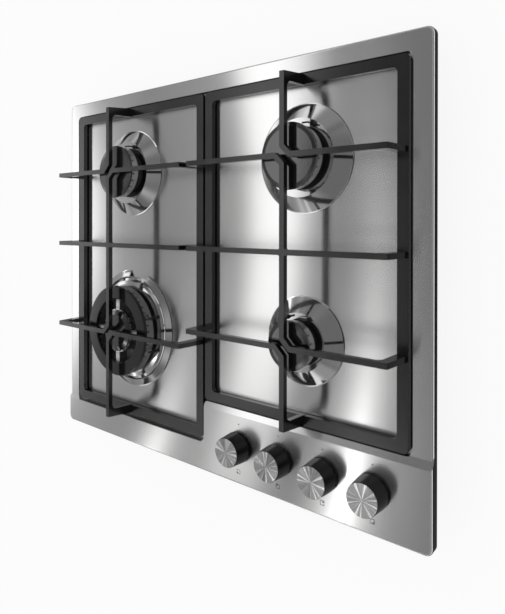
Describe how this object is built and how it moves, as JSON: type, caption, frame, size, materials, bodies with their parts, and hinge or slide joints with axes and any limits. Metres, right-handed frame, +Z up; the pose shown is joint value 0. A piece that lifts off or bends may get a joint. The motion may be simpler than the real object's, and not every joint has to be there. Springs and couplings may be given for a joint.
{
  "type": "gas cooktop",
  "caption": "Built-in gas cooktop: pressed steel plate, cast pan supports over capped burners with drip trims, and push-and-turn knobs on a raised front panel.",
  "frame": {"origin": "centre of the plate, in the plane of the worktop that the rim's seal rests on", "axes": "+X to the user's right, +Y away from the user towards the wall, +Z up"},
  "size_m": [0.59, 0.5, 0.0905],
  "materials": {
    "plate_steel": "brushed along X",
    "foam": "matt closed-cell foam",
    "zinc_sheet": "zinc-coated sheet",
    "screw_steel": "plain",
    "brass": "machined",
    "ceramic": "glazed ceramic with a steel tip",
    "cast_black": "satin black enamel",
    "rubber": "matt",
    "pipe_steel": "zinc-plated pipe",
    "tube_aluminium": "drawn",
    "white_plastic": "moulded",
    "lead_rubber": "silicone sleeve",
    "trim_steel": "polished",
    "cup_aluminium": "cast",
    "crown_aluminium": "machined casting",
    "enamel": "gloss black enamel",
    "disc_metal": "sun-brushed",
    "knob_black": "satin black",
    "spindle_steel": "turned",
    "spring_steel": "spring wire"
  },
  "bodies": {
    "base": {"bottom_box": "zinc_sheet", "burner_cup_back_left": "cup_aluminium", "burner_cup_back_right": "cup_aluminium", "burner_cup_front_right": "cup_aluminium", "burner_cup_wok": "cup_aluminium", "burner_screws": "screw_steel", "burner_trim_back_left": "trim_steel", "burner_trim_back_right": "trim_steel", "burner_trim_front_right": "trim_steel", "burner_trim_wok": "trim_steel", "cable_gland": "rubber", "edge_seal": "foam", "feed_tubes": "tube_aluminium", "flame_probes": "ceramic", "gas_inlet": "brass", "gas_manifold": "pipe_steel", "igniters": "ceramic", "ignition_leads": "lead_rubber", "injectors": "brass", "knob_seals": "rubber", "spark_module": "white_plastic", "top_plate": "plate_steel", "valve_body_1": "brass", "valve_body_2": "brass", "valve_body_3": "brass", "valve_body_4": "brass", "valve_spring_1": "spring_steel", "valve_spring_2": "spring_steel", "valve_spring_3": "spring_steel", "valve_spring_4": "spring_steel"},
    "support_left": {"pan_support_left": "cast_black", "support_feet_left": "rubber"},
    "support_right": {"pan_support_right": "cast_black", "support_feet_right": "rubber"},
    "crown_back_left": {"burner_crown_back_left": "crown_aluminium"},
    "cap_back_left": {"burner_cap_back_left": "enamel"},
    "crown_back_right": {"burner_crown_back_right": "crown_aluminium"},
    "cap_back_right": {"burner_cap_back_right": "enamel"},
    "crown_front_right": {"burner_crown_front_right": "crown_aluminium"},
    "cap_front_right": {"burner_cap_front_right": "enamel"},
    "crown_wok": {"burner_crown_wok": "crown_aluminium"},
    "cap_wok": {"burner_cap_wok": "enamel"},
    "cap_wok_inner": {"burner_cap_wok_inner": "enamel"},
    "push_1": {"valve_plunger_1": "spindle_steel"},
    "turn_1": {"valve_spindle_1": "spindle_steel", "knob_1": "knob_black", "knob_disc_1": "disc_metal"},
    "push_2": {"valve_plunger_2": "spindle_steel"},
    "turn_2": {"valve_spindle_2": "spindle_steel", "knob_2": "knob_black", "knob_disc_2": "disc_metal"},
    "push_3": {"valve_plunger_3": "spindle_steel"},
    "turn_3": {"valve_spindle_3": "spindle_steel", "knob_3": "knob_black", "knob_disc_3": "disc_metal"},
    "push_4": {"valve_plunger_4": "spindle_steel"},
    "turn_4": {"valve_spindle_4": "spindle_steel", "knob_4": "knob_black", "knob_disc_4": "disc_metal"}
  },
  "joints": [
    {"name": "support_left_lift", "type": "slide", "parent": "base", "child": "support_left", "axis": [0, 0, 1], "range_m": [0, 0.12]},
    {"name": "support_right_lift", "type": "slide", "parent": "base", "child": "support_right", "axis": [0, 0, 1], "range_m": [0, 0.12]},
    {"name": "crown_back_left_lift", "type": "slide", "parent": "base", "child": "crown_back_left", "axis": [0, 0, 1], "range_m": [0, 0.0025]},
    {"name": "cap_back_left_lift", "type": "slide", "parent": "crown_back_left", "child": "cap_back_left", "axis": [0, 0, 1], "range_m": [0, 0.003]},
    {"name": "crown_back_right_lift", "type": "slide", "parent": "base", "child": "crown_back_right", "axis": [0, 0, 1], "range_m": [0, 0.0025]},
    {"name": "cap_back_right_lift", "type": "slide", "parent": "crown_back_right", "child": "cap_back_right", "axis": [0, 0, 1], "range_m": [0, 0.003]},
    {"name": "crown_front_right_lift", "type": "slide", "parent": "base", "child": "crown_front_right", "axis": [0, 0, 1], "range_m": [0, 0.0025]},
    {"name": "cap_front_right_lift", "type": "slide", "parent": "crown_front_right", "child": "cap_front_right", "axis": [0, 0, 1], "range_m": [0, 0.003]},
    {"name": "crown_wok_lift", "type": "slide", "parent": "base", "child": "crown_wok", "axis": [0, 0, 1], "range_m": [0, 0.0025]},
    {"name": "cap_wok_lift", "type": "slide", "parent": "crown_wok", "child": "cap_wok", "axis": [0, 0, 1], "range_m": [0, 0.003]},
    {"name": "cap_wok_inner_lift", "type": "slide", "parent": "crown_wok", "child": "cap_wok_inner", "axis": [0, 0, 1], "range_m": [0, 0.003]},
    {"name": "knob_1_push", "type": "slide", "parent": "base", "child": "push_1", "axis": [0, 0, -1], "range_m": [0, 0.003], "stiffness_N_per_m": 800, "springref_m": -0.005, "deforming": ["valve_spring_1"]},
    {"name": "knob_1_turn", "type": "hinge", "parent": "push_1", "child": "turn_1", "pos_m": [0.0585, -0.2048, 0], "axis": [0, 0, 1], "range_deg": [0, 210]},
    {"name": "knob_2_push", "type": "slide", "parent": "base", "child": "push_2", "axis": [0, 0, -1], "range_m": [0, 0.003], "stiffness_N_per_m": 800, "springref_m": -0.005, "deforming": ["valve_spring_2"]},
    {"name": "knob_2_turn", "type": "hinge", "parent": "push_2", "child": "turn_2", "pos_m": [0.1169, -0.2048, 0], "axis": [0, 0, 1], "range_deg": [0, 210]},
    {"name": "knob_3_push", "type": "slide", "parent": "base", "child": "push_3", "axis": [0, 0, -1], "range_m": [0, 0.003], "stiffness_N_per_m": 800, "springref_m": -0.005, "deforming": ["valve_spring_3"]},
    {"name": "knob_3_turn", "type": "hinge", "parent": "push_3", "child": "turn_3", "pos_m": [0.1753, -0.2048, 0], "axis": [0, 0, 1], "range_deg": [0, 210]},
    {"name": "knob_4_push", "type": "slide", "parent": "base", "child": "push_4", "axis": [0, 0, -1], "range_m": [0, 0.003], "stiffness_N_per_m": 800, "springref_m": -0.005, "deforming": ["valve_spring_4"]},
    {"name": "knob_4_turn", "type": "hinge", "parent": "push_4", "child": "turn_4", "pos_m": [0.2337, -0.2048, 0], "axis": [0, 0, 1], "range_deg": [0, 210]}
  ]
}
